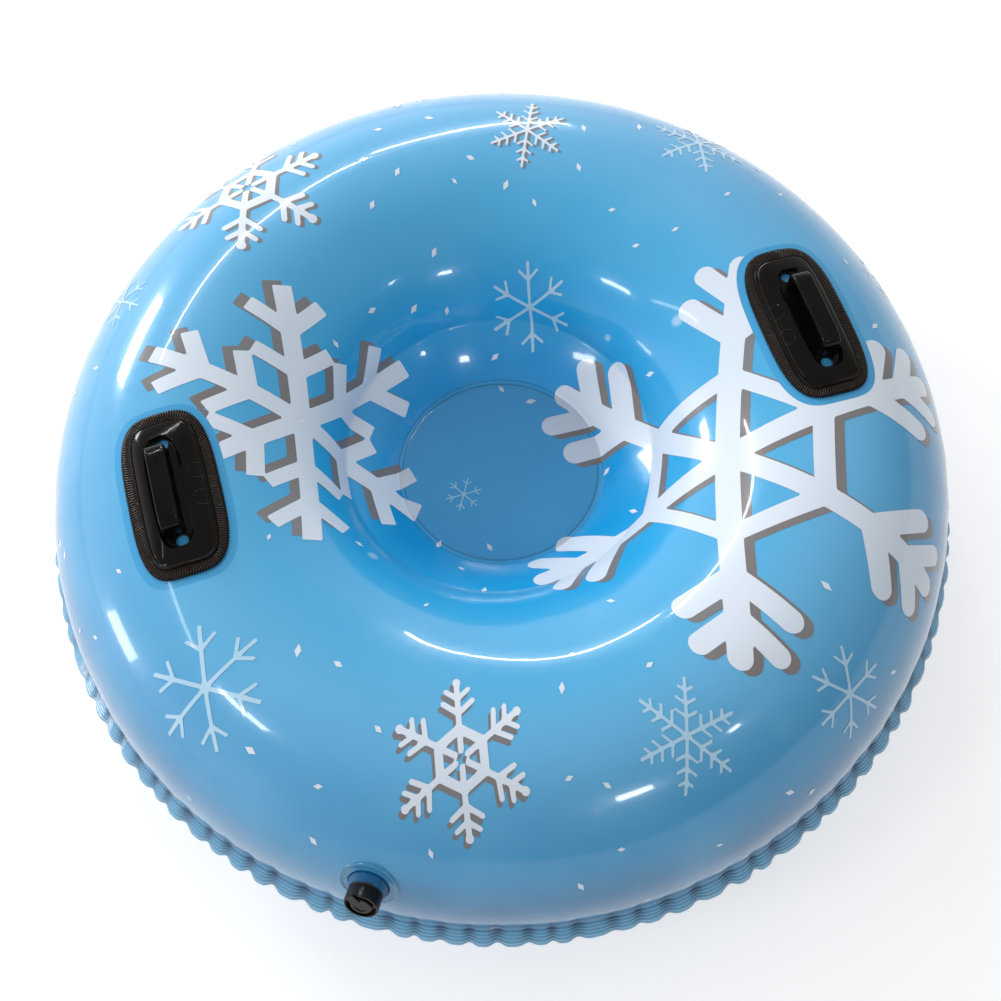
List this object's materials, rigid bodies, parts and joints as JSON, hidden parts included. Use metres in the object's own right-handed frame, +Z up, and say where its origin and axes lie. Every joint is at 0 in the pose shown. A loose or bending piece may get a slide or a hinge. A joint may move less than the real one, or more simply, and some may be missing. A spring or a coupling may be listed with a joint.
{
  "type": "snow tube",
  "caption": "Inflated ring-shaped snow tube with a welded floor, a ruffled rim, moulded carry handles and a screw-in air valve with a plug cap on a strap.",
  "frame": {"origin": "on the ground under the middle of the ring, the centre of the bounding box's base", "axes": "+Z up along the ring's axis, handles on -X and +X, air valve on the -Y side towards -X"},
  "size_m": [0.9918, 0.9918, 0.3306],
  "materials": {
    "top_sheet": "glossy printed vinyl",
    "bottom_sheet": "glossy vinyl",
    "handle_left": "glossy moulded vinyl",
    "handle_right": "glossy moulded vinyl",
    "valve_base": "glossy soft vinyl",
    "valve_seal": "matt rubber",
    "valve_body": "glossy hard plastic",
    "valve_flap": "matt rubber",
    "valve_cap": "glossy soft plastic"
  },
  "bodies": {
    "tube": {"top_sheet": "top_sheet", "bottom_sheet": "bottom_sheet", "handle_left": "handle_left", "handle_right": "handle_right", "valve_base": "valve_base"},
    "gasket": {"valve_seal": "valve_seal"},
    "valve": {"valve_body": "valve_body"},
    "flap": {"valve_flap": "valve_flap"},
    "cap": {"valve_cap": "valve_cap"}
  },
  "joints": [
    {"name": "valve_lift", "type": "slide", "parent": "tube", "child": "gasket", "axis": [-0.4715, -0.7664, 0.4362], "range_m": [0, 0.006]},
    {"name": "valve_turn", "type": "hinge", "parent": "gasket", "child": "valve", "pos_m": [-0.24306, -0.39509, 0.21937], "axis": [-0.4715, -0.7664, 0.4362], "range_deg": [0, 720]},
    {"name": "cap_flip", "type": "hinge", "parent": "valve", "child": "cap", "pos_m": [-0.26079, -0.40388, 0.24092], "axis": [-0.7928, 0.1517, -0.5903], "range_deg": [0, 160]},
    {"name": "flap_open", "type": "slide", "parent": "valve", "child": "flap", "axis": [0.4715, 0.7664, -0.4362], "range_m": [0, 0.0025], "stiffness_N_per_m": 50, "springref_m": -0.002}
  ],
  "couplings": [
    {"joint": "valve_lift", "follows": "valve_turn", "m_per_rad": 0.00047746}
  ]
}
